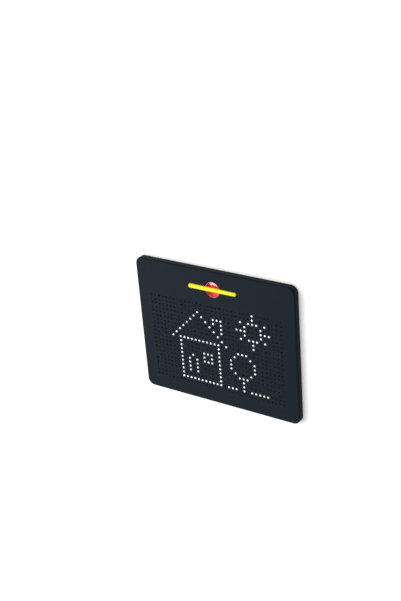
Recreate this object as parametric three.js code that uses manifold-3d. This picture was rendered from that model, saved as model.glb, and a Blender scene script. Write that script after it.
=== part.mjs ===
// A magnetic bead drawing board. A shallow plastic case has a grid of holes in its face, with one
// steel bead in the cell under each hole. The magnet in the stylus lifts a bead into its hole, where
// the neck of the hole holds it, and a fingertip pushes it down again. The stylus lies in a groove
// that runs across a dished finger well.
// Millimetres, +Z up. The board lies on its feet with its face up. X runs along its width, and +Y
// points to the edge that the stylus lies along. The origin is on the ground under its middle.
import * as THREE from 'three';
import { mergeVertices } from 'three/addons/utils/BufferGeometryUtils.js';
import Module from 'manifold-3d';

const wasm = await Module();
wasm.setup();

// Clearances
const seat_gap = 0.3;
const running_gap = 0.2;
const cut_overrun = 0.5;

// Case
const board_width = 314;
const board_depth = 253;
const corner_radius = 13;
const face_edge_radius = 2.6;
const back_edge_radius = 1.2;
const face_skin = 2.4;
const side_wall = 2.2;
const back_skin = 1.8;
const lip_wall = 1.6;
const lip_height = 3;

// Bead field
const hole_columns = 34;
const hole_rows = 21;
const near_margin = 30.6;
const bead_diameter = 4.8;
const neck_grip = 0.6;
const bead_side_gap = 0.05;
const bead_travel = 3.4;
const funnel_depth = 3.2;
const cell_wall = 1.2;
const web_width = 1.2;
const web_thickness = 0.45;
const floor_plate_thickness = 1.2;
const floor_plate_overhang = 2;
const screw_room = 3.1;
const well_room = 9;

// Ribs of the back cover
const rib_height = 1.9;
const rib_wall = 1.6;
const ribs_across = 4;
const ribs_along = 2;

// Feet
const foot_stand = 1;
const foot_radius = 6;
const foot_recess = 0.6;
const foot_edge = 0.4;
const foot_inset_x = 31;
const foot_inset_y = 22.5;

// Screws
const screw_radius = 1.4;
const screw_head_radius = 2.9;
const screw_head_height = 1.4;
const screw_head_edge = 0.5;
const screw_length = 7.2;
const screw_point = 1.2;
const screw_sink = 0.4;
const screw_seat_wall = 1.6;
const screw_pad_wall = 1.4;
const boss_wall = 1.9;
const screw_inset = 13.5;
const screw_middle_x = 48;

// Stylus and its groove
const stylus_length = 93;
const stylus_end_radius = 4;
const stylus_tip_radius = 3.3;
const stylus_sink = 0.8;
const stylus_wall = 1.3;
const tip_cap_length = 6;
const tip_cap_wall = 1.4;
const end_plug_length = 6;
const end_plug_round = 1.3;
const spigot_length = 7;
const magnet_radius = 2;
const magnet_length = 10;
const magnet_socket_length = 8;
const groove_far_margin = 33.5;
const groove_end_room = 3;
const groove_mouth_room = 1;
const trough_wall = 1.5;

// Finger well
const well_opening_radius = 14.5;
const well_skin = 1.2;
const well_depth = 6.8;
const well_floor_radius = 6;
const well_rim_drop = 0.2;
const well_flange_width = 2.6;
const well_flange_thickness = 1.2;
const well_pad_radius = 5;

// Steel plate that holds the stylus by its magnet
const keeper_length = 24;
const keeper_width = 9;
const keeper_thickness = 0.8;
const keeper_pad_length = 3;

// Facets of round shapes, and of the corners of outlines
const corner_steps = 6;
const edge_steps = 3;
const bead_sides = 6;
const bead_rings = 3;
const boss_sides = 8;
const screw_sides = 8;
const foot_sides = 12;
const stylus_sides = 20;
const dome_steps = 4;
const groove_steps = 10;
const well_sides = 24;
const well_steps = 4;

// Heights of the stack, from the ground up
const back_z = foot_stand;
const back_top_z = back_z + back_skin;
const seam_z = back_top_z + seat_gap;
const rib_top_z = back_top_z + rib_height;
const floor_plate_z = rib_top_z + seat_gap;
const floor_plate_top_z = floor_plate_z + floor_plate_thickness;
const web_z = floor_plate_top_z + running_gap + bead_travel;
const web_top_z = web_z + web_thickness;
const ridge_z = web_top_z + running_gap;
const face_z = ridge_z + funnel_depth;
const face_under_z = face_z - face_skin;

// Stylus and groove, worked out
const groove_y = board_depth / 2 - groove_far_margin;
const stylus_z = face_z - stylus_sink;
const stylus_half = stylus_length / 2;
const groove_half = stylus_half + groove_end_room;
const groove_floor_z = stylus_z - stylus_end_radius - seat_gap;
const trough_z = groove_floor_z - trough_wall;
const trough_half_length = groove_half + trough_wall;
const trough_half_width = stylus_end_radius + groove_mouth_room + trough_wall;
const magnet_start = tip_cap_wall + seat_gap;

// Finger well, worked out
const well_outer_radius = well_opening_radius - seat_gap;
const well_inner_radius = well_outer_radius - well_skin;
const well_flange_radius = well_outer_radius + well_flange_width;
const well_rim_z = face_z - well_rim_drop;
const well_floor_z = face_z - well_depth;
const well_flange_top_z = face_under_z - seat_gap;
const well_flange_z = well_flange_top_z - well_flange_thickness;

// Keeper plate under the magnet, worked out
const keeper_x = stylus_half - magnet_start - magnet_length / 2;
const keeper_top_z = trough_z - seat_gap;
const keeper_z = keeper_top_z - keeper_thickness;
const keeper_pad_z = keeper_z - seat_gap;

// Screws, worked out
const screw_head_z = back_z + screw_sink;
const screw_shank_z = screw_head_z + screw_head_height;
const screw_tip_z = screw_shank_z + screw_length;
const counterbore_radius = screw_head_radius + seat_gap;
const counterbore_top_z = screw_shank_z + seat_gap;
const screw_pad_radius = counterbore_radius + screw_pad_wall;
const screw_pad_z = counterbore_top_z + screw_seat_wall;
const boss_z = screw_pad_z + seat_gap;
const pilot_radius = screw_radius + seat_gap;
const boss_radius = pilot_radius + boss_wall;
const pilot_top_z = screw_tip_z + seat_gap;
const screw_x = board_width / 2 - screw_inset;
const screw_y = board_depth / 2 - screw_inset;
const screw_places = [
  [-screw_x, -screw_y], [-screw_middle_x, -screw_y], [screw_middle_x, -screw_y], [screw_x, -screw_y],
  [-screw_x, 0], [screw_x, 0],
  [-screw_x, screw_y], [-screw_middle_x, screw_y], [screw_middle_x, screw_y], [screw_x, screw_y],
];

// Bead field, worked out. The floor plate fills the room between the screws at both sides, and
// reaches from the near margin to the finger well. The holes are spread evenly over it.
const bead_radius = bead_diameter / 2;
const hole_half = (bead_diameter - neck_grip) / 2;
const floor_plate_half_x = screw_x - screw_pad_radius - screw_room;
const field_half_x = floor_plate_half_x - floor_plate_overhang - cell_wall;
const pitch_x = 2 * field_half_x / hole_columns;
const near_row_y = -board_depth / 2 + near_margin;
const floor_plate_far_y = groove_y - well_flange_radius - well_room;
const field_far_y = floor_plate_far_y - floor_plate_overhang - cell_wall;
const pitch_y = (field_far_y - near_row_y) / (hole_rows - 1 / 2);
const field_half_y = hole_rows * pitch_y / 2;
const field_y = field_far_y - field_half_y;
const floor_plate_half_y = floor_plate_far_y - field_y;

// A raised bead rests against the slanting sides of its funnel, on the pair that stands steeper.
const funnelFlare = (pitch) => (pitch / 2 - hole_half) / funnel_depth;
const restDepth = (flare) => ((bead_radius + bead_side_gap) * Math.hypot(1, flare) - hole_half) / flare;
const bead_z = face_z - Math.max(restDepth(funnelFlare(pitch_x)), restDepth(funnelFlare(pitch_y)));
// A web runs past the centres of its last beads, so that webs that meet share no end face.
const web_end_length = web_width / 2 + cut_overrun;

const foot_x = board_width / 2 - foot_inset_x;
const foot_y = board_depth / 2 - foot_inset_y;
const foot_places = [
  [-foot_x, -foot_y], [0, -foot_y], [foot_x, -foot_y],
  [-foot_x, foot_y], [0, foot_y], [foot_x, foot_y],
];

// The drawing that the raised beads make: a house, a tree and a sun. Each stroke is one or more
// lines of beads from hole to hole. A place is a column and a row, as shares of the hole pitch
// from the first hole of the far row.
const stroke_shares = {
  roof: [[[5, 9], [12, 2], [19, 9]]],
  eaves: [[[7, 9], [17, 9]]],
  walls: [[[7, 10], [7, 19], [17, 19], [17, 10]]],
  door: [[[9, 17], [9, 14], [10, 13], [11, 14], [11, 17]]],
  window: [[[13, 12], [15, 12], [15, 14], [13, 14], [13, 13]]],
  chimney: [[[16, 4], [16, 3], [18, 3], [18, 6]]],
  sun: [
    [[24, 3], [25, 2], [27, 2], [28, 3], [28, 5], [27, 6], [25, 6], [24, 5], [24, 4]],
    [[26, 2], [26, 0]], [[26, 6], [26, 8]], [[24, 4], [22, 4]], [[28, 4], [30, 4]],
    [[24, 3], [23, 2]], [[28, 3], [29, 2]], [[24, 5], [23, 6]], [[28, 5], [29, 6]],
  ],
  tree_crown: [[[22, 10], [24, 10], [26, 12], [26, 14], [24, 16], [22, 16], [20, 14], [20, 12], [21, 11]]],
  tree_trunk: [[[23, 17], [23, 19]]],
  ground: [[[19, 19], [21, 19]]],
  ground_far: [[[25, 19], [29, 19]]],
};

// Colours and finishes
const slate_plastic = new THREE.MeshStandardMaterial({ color: 0x252e35, roughness: 0.55, metalness: 0 });
const red_plastic = new THREE.MeshStandardMaterial({ color: 0xd8383c, roughness: 0.15, metalness: 0 });
const yellow_plastic = new THREE.MeshStandardMaterial({ color: 0xf7ea2c, roughness: 0.25, metalness: 0 });
const pale_plastic = new THREE.MeshStandardMaterial({ color: 0xb9bcbc, roughness: 0.6, metalness: 0 });
const rubber = new THREE.MeshStandardMaterial({ color: 0x1b1c1d, roughness: 0.9, metalness: 0 });
const bead_steel = new THREE.MeshStandardMaterial({ color: 0xe8ecee, roughness: 0.12, metalness: 1 });
const screw_steel = new THREE.MeshStandardMaterial({ color: 0x8d9196, roughness: 0.35, metalness: 1 });
const magnet_nickel = new THREE.MeshStandardMaterial({ color: 0xc6c8c9, roughness: 0.2, metalness: 1 });

// A closed solid that can be joined and cut, from any closed three.js geometry.
function solidOf(geometry) {
  const bare = geometry.clone();
  bare.deleteAttribute('normal');
  bare.deleteAttribute('uv');
  const merged = mergeVertices(bare);
  return new wasm.Manifold(new wasm.Mesh({
    numProp: 3,
    vertProperties: merged.attributes.position.array,
    triVerts: Uint32Array.from(merged.index.array),
  }));
}

function joined(solids) {
  return solids.reduce((whole, piece) => whole.add(piece));
}

function cutBy(solid, cutters) {
  return cutters.reduce((rest, cutter) => rest.subtract(cutter), solid);
}

function geometryOf(solid) {
  const mesh = solid.getMesh();
  const geometry = new THREE.BufferGeometry();
  geometry.setAttribute('position', new THREE.BufferAttribute(mesh.vertProperties, mesh.numProp));
  geometry.setIndex(new THREE.BufferAttribute(mesh.triVerts, 1));
  geometry.computeVertexNormals();
  return geometry;
}

// A box between two corners.
function box([x0, y0, z0], [x1, y1, z1]) {
  const geometry = new THREE.BoxGeometry(x1 - x0, y1 - y0, z1 - z0);
  geometry.translate((x0 + x1) / 2, (y0 + y1) / 2, (z0 + z1) / 2);
  return solidOf(geometry);
}

// A round bar that stands on the XY plane's point x, y, from z0 to z1.
function bar(x, y, z0, z1, radius, sides) {
  const geometry = new THREE.CylinderGeometry(radius, radius, z1 - z0, sides);
  geometry.rotateX(Math.PI / 2);
  geometry.translate(x, y, (z0 + z1) / 2);
  return solidOf(geometry);
}

// One such bar at each of a list of places.
function barsAt(places, z0, z1, radius, sides) {
  return places.map(([x, y]) => bar(x, y, z0, z1, radius, sides));
}

// A solid turned about the Z axis. Its profile is a list of radius and height, and closes on itself
// or on the axis.
function turned(profile, sides) {
  const points = profile.map(([radius, height]) => new THREE.Vector2(radius, height));
  const geometry = new THREE.LatheGeometry(points, sides);
  geometry.rotateX(Math.PI / 2);
  return solidOf(geometry);
}

// A closed solid whose skin joins each ring of points to the next, with flat convex ends. Every
// ring runs anticlockwise, seen from the last ring's end.
function ringStack(rings) {
  const count = rings[0].length;
  const geometry = new THREE.BufferGeometry();
  geometry.setAttribute('position', new THREE.Float32BufferAttribute(rings.flat(2), 3));
  const index = [];
  for (let start = 0; start < (rings.length - 1) * count; start += count) {
    for (let i = 0; i < count; i += 1) {
      const a = start + i;
      const b = start + (i + 1) % count;
      index.push(a, b, b + count, a, b + count, a + count);
    }
  }
  const last = (rings.length - 1) * count;
  for (let i = 1; i < count - 1; i += 1) {
    index.push(0, i + 1, i);
    index.push(last, last + i, last + i + 1);
  }
  geometry.setIndex(index);
  return solidOf(geometry);
}

// The case's outline, drawn in by an inset, at a height. Its corners are arcs.
function caseRing(inset, z) {
  const radius = corner_radius - inset;
  const half_x = board_width / 2 - corner_radius;
  const half_y = board_depth / 2 - corner_radius;
  const centres = [[half_x, half_y], [-half_x, half_y], [-half_x, -half_y], [half_x, -half_y]];
  return centres.flatMap(([x, y], quarter) => (
    Array.from({ length: corner_steps + 1 }, (_, step) => {
      const angle = (quarter + step / corner_steps) * Math.PI / 2;
      return [x + radius * Math.cos(angle), y + radius * Math.sin(angle), z];
    })
  ));
}

// A slab with the case's outline, from z0 to z1, with a rounded edge at its top or its bottom.
function caseSlab(inset, z0, z1, bottom_round = 0, top_round = 0) {
  const rings = [];
  const turn = (step) => (step / edge_steps) * Math.PI / 2;
  for (let step = 0; step <= edge_steps && bottom_round > 0; step += 1) {
    const draw_in = bottom_round * (1 - Math.sin(turn(step)));
    rings.push(caseRing(inset + draw_in, z0 + bottom_round * (1 - Math.cos(turn(step)))));
  }
  if (bottom_round === 0) rings.push(caseRing(inset, z0));
  for (let step = 0; step <= edge_steps && top_round > 0; step += 1) {
    const draw_in = top_round * (1 - Math.cos(turn(step)));
    rings.push(caseRing(inset + draw_in, z1 - top_round * (1 - Math.sin(turn(step)))));
  }
  if (top_round === 0) rings.push(caseRing(inset, z1));
  return ringStack(rings);
}

// The free space of all the cells: a slab under the ridges, and over it a tapering plug for each
// hole, as wide as the holes' pitch at the ridges and as the hole's neck at the face.
function cellSpace(slab_z) {
  const positions = [];
  const index = [];
  const point = (x, y, z) => positions.push(x, y, z) / 3 - 1;
  const plug_z = face_z + cut_overrun;
  const plug_half_x = hole_half - funnelFlare(pitch_x) * cut_overrun;
  const plug_half_y = hole_half - funnelFlare(pitch_y) * cut_overrun;
  const corner = Array.from({ length: hole_rows + 1 }, (_, row) => (
    Array.from({ length: hole_columns + 1 }, (__, column) => (
      point(column * pitch_x - field_half_x, field_y + row * pitch_y - field_half_y, ridge_z)
    ))
  ));
  for (let row = 0; row < hole_rows; row += 1) {
    for (let column = 0; column < hole_columns; column += 1) {
      const x = (column + 0.5) * pitch_x - field_half_x;
      const y = field_y + (row + 0.5) * pitch_y - field_half_y;
      const low = [
        corner[row][column], corner[row][column + 1], corner[row + 1][column + 1], corner[row + 1][column],
      ];
      const high = [[-1, -1], [1, -1], [1, 1], [-1, 1]].map(([side_x, side_y]) => (
        point(x + side_x * plug_half_x, y + side_y * plug_half_y, plug_z)
      ));
      low.forEach((from, side) => {
        const next = (side + 1) % low.length;
        index.push(from, low[next], high[next], from, high[next], high[side]);
      });
      index.push(high[0], high[1], high[2], high[0], high[2], high[3]);
    }
  }
  const floor = [[-1, -1], [1, -1], [1, 1], [-1, 1]].map(([side_x, side_y]) => (
    point(side_x * field_half_x, field_y + side_y * field_half_y, slab_z)
  ));
  const edges = [
    corner[0],
    corner.map((row) => row[hole_columns]),
    [...corner[hole_rows]].reverse(),
    corner.map((row) => row[0]).reverse(),
  ];
  edges.forEach((edge, side) => {
    index.push(floor[side], floor[(side + 1) % floor.length], edge[edge.length - 1]);
    for (let i = 0; i < edge.length - 1; i += 1) index.push(floor[side], edge[i + 1], edge[i]);
  });
  index.push(floor[0], floor[2], floor[1], floor[0], floor[3], floor[2]);
  const geometry = new THREE.BufferGeometry();
  geometry.setAttribute('position', new THREE.Float32BufferAttribute(positions, 3));
  geometry.setIndex(index);
  return solidOf(geometry);
}

// The stylus's radius at a place along the board's width. It tapers evenly to the tip, at +X.
function stylusRadius(x) {
  return THREE.MathUtils.mapLinear(x, -stylus_half, stylus_half, stylus_end_radius, stylus_tip_radius);
}

// The space of the groove: half round under the stylus's axis, with a mouth that opens to the face.
function grooveSpace(gap) {
  const section = (x) => {
    const radius = stylusRadius(x) + gap;
    const mouth = stylusRadius(x) + groove_mouth_room + gap - seat_gap;
    const round = Array.from({ length: groove_steps + 1 }, (_, step) => {
      const angle = Math.PI * (1 + step / groove_steps);
      return [x, groove_y + radius * Math.cos(angle), stylus_z + radius * Math.sin(angle)];
    });
    return [
      ...round,
      [x, groove_y + mouth, face_z], [x, groove_y + mouth, face_z + cut_overrun],
      [x, groove_y - mouth, face_z + cut_overrun], [x, groove_y - mouth, face_z],
    ];
  };
  return ringStack([section(-groove_half), section(groove_half)]);
}

// The case's front: the face with its holes, the side walls, the wall around the bead field, the
// trough under the groove, and the bosses that the screws enter.
function frontShell() {
  const outer = caseSlab(0, seam_z, face_z, 0, face_edge_radius);
  const hollow = caseSlab(side_wall, seam_z - cut_overrun, face_under_z);
  const field_wall_x = field_half_x + cell_wall;
  const field_wall_y = field_half_y + cell_wall;
  const field_block = box(
    [-field_wall_x, field_y - field_wall_y, floor_plate_top_z + seat_gap],
    [field_wall_x, field_y + field_wall_y, face_z - cut_overrun],
  );
  const trough = box(
    [-trough_half_length, groove_y - trough_half_width, trough_z],
    [trough_half_length, groove_y + trough_half_width, face_z - cut_overrun],
  );
  const bosses = barsAt(screw_places, boss_z, face_z - cut_overrun, boss_radius, boss_sides);
  const pilots = barsAt(screw_places, boss_z - cut_overrun, pilot_top_z, pilot_radius, boss_sides);
  const pocket_radius = well_flange_radius + seat_gap;
  const well_pocket = bar(0, groove_y, trough_z - cut_overrun, face_under_z, pocket_radius, well_sides);
  const hole_z = face_under_z - cut_overrun;
  const well_hole = bar(0, groove_y, hole_z, face_z + cut_overrun, well_opening_radius, well_sides);
  const cells = cellSpace(floor_plate_z);
  const body = joined([outer.subtract(hollow), field_block, trough, ...bosses]);
  return cutBy(body, [...pilots, well_pocket, well_hole, grooveSpace(seat_gap), cells]);
}

// The case's back: a plate with the case's outline, a lip that stands inside the side walls, ribs
// under the bead floor plate, and pads for the screws, the finger well and the keeper plate.
function backCover() {
  const plate = caseSlab(0, back_z, back_top_z, back_edge_radius, 0);
  const lip_inset = side_wall + seat_gap;
  const lip_low_z = back_top_z - cut_overrun;
  const lip_top_z = back_top_z + lip_height;
  const lip_outer = caseSlab(lip_inset, lip_low_z, lip_top_z);
  const lip_inner = caseSlab(lip_inset + lip_wall, lip_low_z - cut_overrun, lip_top_z + cut_overrun);
  const ribs = [];
  for (let rib = 0; rib < ribs_across; rib += 1) {
    const x = ((rib + 0.5) / ribs_across - 0.5) * 2 * field_half_x;
    ribs.push(box(
      [x - rib_wall / 2, field_y - field_half_y, lip_low_z],
      [x + rib_wall / 2, field_y + field_half_y, rib_top_z],
    ));
  }
  for (let rib = 0; rib < ribs_along; rib += 1) {
    const y = field_y + ((rib + 0.5) / ribs_along - 0.5) * 2 * field_half_y;
    ribs.push(box(
      [-field_half_x, y - rib_wall / 2, lip_low_z],
      [field_half_x, y + rib_wall / 2, rib_top_z],
    ));
  }
  const keeper_pads = [-1, 1].map((side) => {
    const x = keeper_x + side * (keeper_length - keeper_pad_length) / 2;
    return box(
      [x - keeper_pad_length / 2, groove_y - keeper_width / 2, lip_low_z],
      [x + keeper_pad_length / 2, groove_y + keeper_width / 2, keeper_pad_z],
    );
  });
  const well_pad_z = well_floor_z - well_skin - seat_gap;
  const well_pad = bar(0, groove_y, lip_low_z, well_pad_z, well_pad_radius, boss_sides);
  const cut_z = back_z - cut_overrun;
  const screw_pads = barsAt(screw_places, lip_low_z, screw_pad_z, screw_pad_radius, boss_sides);
  const counterbores = barsAt(screw_places, cut_z, counterbore_top_z, counterbore_radius, boss_sides);
  const screw_holes = barsAt(screw_places, back_z, screw_pad_z + cut_overrun, pilot_radius, boss_sides);
  const foot_seats = barsAt(foot_places, cut_z, back_z + foot_recess, foot_radius + seat_gap, foot_sides);
  const lip = lip_outer.subtract(lip_inner);
  const body = joined([plate, lip, ...ribs, ...keeper_pads, well_pad, ...screw_pads]);
  return cutBy(body, [...counterbores, ...screw_holes, ...foot_seats]);
}

// The plate that closes the cells from below.
function beadFloorPlate() {
  return box(
    [-floor_plate_half_x, field_y - floor_plate_half_y, floor_plate_z],
    [floor_plate_half_x, field_y + floor_plate_half_y, floor_plate_top_z],
  );
}

// The red dish under the stylus. Its flange is held under the face, and its rim is notched where
// the stylus crosses it.
function fingerWell() {
  const dish = (radius, floor_z, top_z) => Array.from({ length: well_steps + 1 }, (_, step) => {
    const angle = (step / well_steps) * Math.PI / 2;
    const reach = radius - well_floor_radius;
    const rise = (top_z - floor_z) * (1 - Math.cos(angle));
    return [well_floor_radius + reach * Math.sin(angle), floor_z + rise];
  });
  const profile = [
    [0, well_floor_z - well_skin],
    ...dish(well_outer_radius, well_floor_z - well_skin, well_flange_z),
    [well_flange_radius, well_flange_z],
    [well_flange_radius, well_flange_top_z],
    [well_outer_radius, well_flange_top_z],
    [well_outer_radius, well_rim_z],
    ...dish(well_inner_radius, well_floor_z, well_rim_z).reverse(),
    [0, well_floor_z],
  ];
  return turned(profile, well_sides).translate([0, groove_y, 0]).subtract(grooveSpace(2 * seat_gap));
}

// The steel plate under the groove that the stylus's magnet pulls at.
function stylusKeeperPlate() {
  return box(
    [keeper_x - keeper_length / 2, groove_y - keeper_width / 2, keeper_z],
    [keeper_x + keeper_length / 2, groove_y + keeper_width / 2, keeper_top_z],
  );
}

// A piece of the stylus. Its profile is a list of distance from the tip and radius, and it is
// turned about the stylus's axis, which lies along X with the tip at +X.
function stylusPiece(profile) {
  const points = profile.map(([along, radius]) => new THREE.Vector2(radius, along));
  const geometry = new THREE.LatheGeometry(points, stylus_sides);
  geometry.rotateZ(Math.PI / 2);
  geometry.translate(stylus_half, groove_y, stylus_z);
  return solidOf(geometry);
}

const barrel_start = tip_cap_length + running_gap;
const barrel_end = stylus_length - end_plug_length - running_gap;
const outerRadiusAt = (along) => stylusRadius(stylus_half - along);
const socket_radius = magnet_radius + seat_gap;
const bore_radius = outerRadiusAt(barrel_end) - stylus_wall;
const socket_end = barrel_start + magnet_socket_length;

// The tapered tube, with a narrow socket for the magnet at its tip end and a wider bore behind it.
function stylusBarrel() {
  return stylusPiece([
    [barrel_start, socket_radius],
    [barrel_start, outerRadiusAt(barrel_start)],
    [barrel_end, outerRadiusAt(barrel_end)],
    [barrel_end, bore_radius],
    [barrel_end - 2 * spigot_length, bore_radius],
    [socket_end + spigot_length, socket_radius],
    [barrel_start, socket_radius],
  ]);
}

// The domed cap that closes the tip over the magnet.
function stylusTipCap() {
  const dome_radius = outerRadiusAt(tip_cap_length / 2);
  const dome = Array.from({ length: dome_steps + 1 }, (_, step) => {
    const angle = (step / dome_steps) * Math.PI / 2;
    return [(tip_cap_length / 2) * (1 - Math.cos(angle)), dome_radius * Math.sin(angle)];
  });
  return stylusPiece([
    ...dome,
    [tip_cap_length, outerRadiusAt(tip_cap_length)],
    [tip_cap_length, socket_radius],
    [tip_cap_wall, socket_radius],
    [tip_cap_wall, 0],
  ]);
}

function stylusTipMagnet() {
  return stylusPiece([
    [magnet_start, 0],
    [magnet_start, magnet_radius],
    [magnet_start + magnet_length, magnet_radius],
    [magnet_start + magnet_length, 0],
  ]);
}

// The plug that closes the blunt end, with a spigot inside the barrel.
function stylusEndPlug() {
  const plug_start = stylus_length - end_plug_length;
  const spigot_radius = bore_radius - seat_gap;
  const rounded = Array.from({ length: edge_steps + 1 }, (_, step) => {
    const angle = (step / edge_steps) * Math.PI / 2;
    return [
      stylus_length - end_plug_round * (1 - Math.sin(angle)),
      outerRadiusAt(stylus_length) - end_plug_round * (1 - Math.cos(angle)),
    ];
  });
  return stylusPiece([
    [plug_start - spigot_length, 0],
    [plug_start - spigot_length, spigot_radius],
    [plug_start, spigot_radius],
    [plug_start, outerRadiusAt(plug_start)],
    ...rounded,
    [stylus_length, 0],
  ]);
}

function screw([x, y]) {
  return turned([
    [0, screw_head_z],
    [screw_head_radius - screw_head_edge, screw_head_z],
    [screw_head_radius, screw_head_z + screw_head_edge],
    [screw_head_radius, screw_shank_z],
    [screw_radius, screw_shank_z],
    [screw_radius, screw_tip_z - screw_point],
    [0, screw_tip_z],
  ], screw_sides).translate([x, y, 0]);
}

function foot([x, y]) {
  const foot_top_z = back_z + foot_recess - seat_gap;
  return turned([
    [0, 0],
    [foot_radius - foot_edge, 0],
    [foot_radius, foot_edge],
    [foot_radius, foot_top_z],
    [0, foot_top_z],
  ], foot_sides).translate([x, y, 0]);
}

// The beads of one stroke, joined under the ridges by thin webs so that they move as one piece.
function raisedBeads(lines) {
  const place = ([column, row]) => [
    (column + 0.5) * pitch_x - field_half_x,
    field_y + field_half_y - (row + 0.5) * pitch_y,
  ];
  const beads = new Map();
  const webs = [];
  for (const line of lines) {
    for (let i = 0; i < line.length - 1; i += 1) {
      const [from, to] = [line[i], line[i + 1]];
      const steps = Math.max(Math.abs(to[0] - from[0]), Math.abs(to[1] - from[1]));
      for (let step = 0; step <= steps; step += 1) {
        const cell = from.map((start, axis) => start + (to[axis] - start) * (step / steps));
        beads.set(cell.join(), cell);
      }
      const [x0, y0] = place(from);
      const [x1, y1] = place(to);
      const web_length = Math.hypot(x1 - x0, y1 - y0) + 2 * web_end_length;
      const web = new THREE.BoxGeometry(web_length, web_width, web_thickness);
      web.rotateZ(Math.atan2(y1 - y0, x1 - x0));
      web.translate((x0 + x1) / 2, (y0 + y1) / 2, web_z + web_thickness / 2);
      webs.push(solidOf(web));
    }
  }
  const balls = [...beads.values()].map((cell) => {
    const ball = new THREE.SphereGeometry(bead_radius, bead_sides, bead_rings);
    ball.rotateX(Math.PI / 2);
    ball.translate(...place(cell), bead_z);
    return solidOf(ball);
  });
  return joined([...webs, ...balls]);
}

const board = new THREE.Group();

function addPiece(name, solid, material) {
  const piece = new THREE.Mesh(geometryOf(solid), material.clone());
  piece.name = name;
  board.add(piece);
}

const numbered = (stem, index) => `${stem}_${String(index + 1).padStart(2, '0')}`;

addPiece('front_shell', frontShell(), slate_plastic);
addPiece('back_cover', backCover(), slate_plastic);
addPiece('bead_floor_plate', beadFloorPlate(), pale_plastic);
addPiece('finger_well', fingerWell(), red_plastic);
addPiece('stylus_keeper_plate', stylusKeeperPlate(), screw_steel);
addPiece('stylus_barrel', stylusBarrel(), yellow_plastic);
addPiece('stylus_tip_cap', stylusTipCap(), yellow_plastic);
addPiece('stylus_tip_magnet', stylusTipMagnet(), magnet_nickel);
addPiece('stylus_end_plug', stylusEndPlug(), yellow_plastic);
Object.entries(stroke_shares).forEach(([name, lines]) => {
  addPiece(`raised_beads_${name}`, raisedBeads(lines), bead_steel);
});
screw_places.forEach((place, index) => addPiece(numbered('back_screw', index), screw(place), screw_steel));
foot_places.forEach((place, index) => addPiece(numbered('rubber_foot', index), foot(place), rubber));

export default board;
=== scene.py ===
"""A magnetic drawing board: a slate case whose face has a grid of holes over steel beads, a yellow
stylus with a magnet in its tip, and a red finger well under the stylus.

Shapes are worked out in millimetres, in the frame's own axes, and turned to metres when their
meshes are made."""
import math

import bmesh
import bpy
import numpy as np
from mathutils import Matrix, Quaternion, Vector
from mathutils.geometry import delaunay_2d_cdt


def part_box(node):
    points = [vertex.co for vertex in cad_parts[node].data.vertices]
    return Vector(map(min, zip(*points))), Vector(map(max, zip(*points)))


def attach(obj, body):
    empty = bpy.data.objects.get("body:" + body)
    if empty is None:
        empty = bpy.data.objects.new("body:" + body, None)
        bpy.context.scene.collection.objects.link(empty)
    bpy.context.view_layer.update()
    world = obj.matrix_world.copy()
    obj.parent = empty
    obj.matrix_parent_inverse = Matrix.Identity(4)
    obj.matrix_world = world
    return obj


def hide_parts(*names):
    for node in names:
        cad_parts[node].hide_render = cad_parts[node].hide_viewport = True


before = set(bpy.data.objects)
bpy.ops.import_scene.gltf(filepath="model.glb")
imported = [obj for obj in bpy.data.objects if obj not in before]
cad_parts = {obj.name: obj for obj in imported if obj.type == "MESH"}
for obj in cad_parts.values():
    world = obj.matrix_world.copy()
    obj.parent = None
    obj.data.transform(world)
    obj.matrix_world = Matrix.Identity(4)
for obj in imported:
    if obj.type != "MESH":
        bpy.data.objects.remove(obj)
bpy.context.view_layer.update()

MM = 0.001

# Two places closer than SAME_PLACE are one. In a finished mesh, points closer than MERGE_DISTANCE
# become one, and faces thinner than THIN_EDGE are taken out. A turned profile that reaches its axis
# ends in a ring of AXIS_RADIUS, which then becomes one point.
SAME_PLACE = 1e-6
MERGE_DISTANCE = 0.004
THIN_EDGE = 0.002
AXIS_RADIUS = 1e-4
SHARP_ANGLE = 40.0


def frame_box(node):
    """The lowest and the highest corner of a node of the frame, in millimetres."""
    low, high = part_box(node)
    return np.array(low) / MM, np.array(high) / MM


# Sizes read from the frame
shell_low, shell_high = frame_box("front_shell")
cover_low, cover_high = frame_box("back_cover")
plate_low, plate_high = frame_box("bead_floor_plate")
well_low, well_high = frame_box("finger_well")
barrel_low, barrel_high = frame_box("stylus_barrel")
cap_low, cap_high = frame_box("stylus_tip_cap")
plug_low, plug_high = frame_box("stylus_end_plug")
foot_low, foot_high = frame_box("rubber_foot_01")
screw_low, screw_high = frame_box("back_screw_01")
BOARD_HALF_X = shell_high[0]
BOARD_HALF_Y = shell_high[1]
FACE_Z = shell_high[2]
SEAM_Z = shell_low[2]
BACK_Z = cover_low[2]

# Case. The painted shade of its sides comes in over the rounded edge, EDGE_SHADE_RISE times as
# fast as the edge draws out to the side wall.
CORNER_RADIUS = 13.0
CORNER_STEPS = 16
FACE_EDGE_RADIUS = 2.6
FACE_EDGE_STEPS = 8
BACK_EDGE_RADIUS = 1.2
BACK_EDGE_STEPS = 6
EDGE_SHADE_RISE = 1.5
SIDE_WALL = 2.2
FACE_SKIN = 2.4
BACK_SKIN = 1.8
SEAM_EDGE = 0.25
LIP_WALL = 1.4
SEAT_GAP = 0.3
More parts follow.
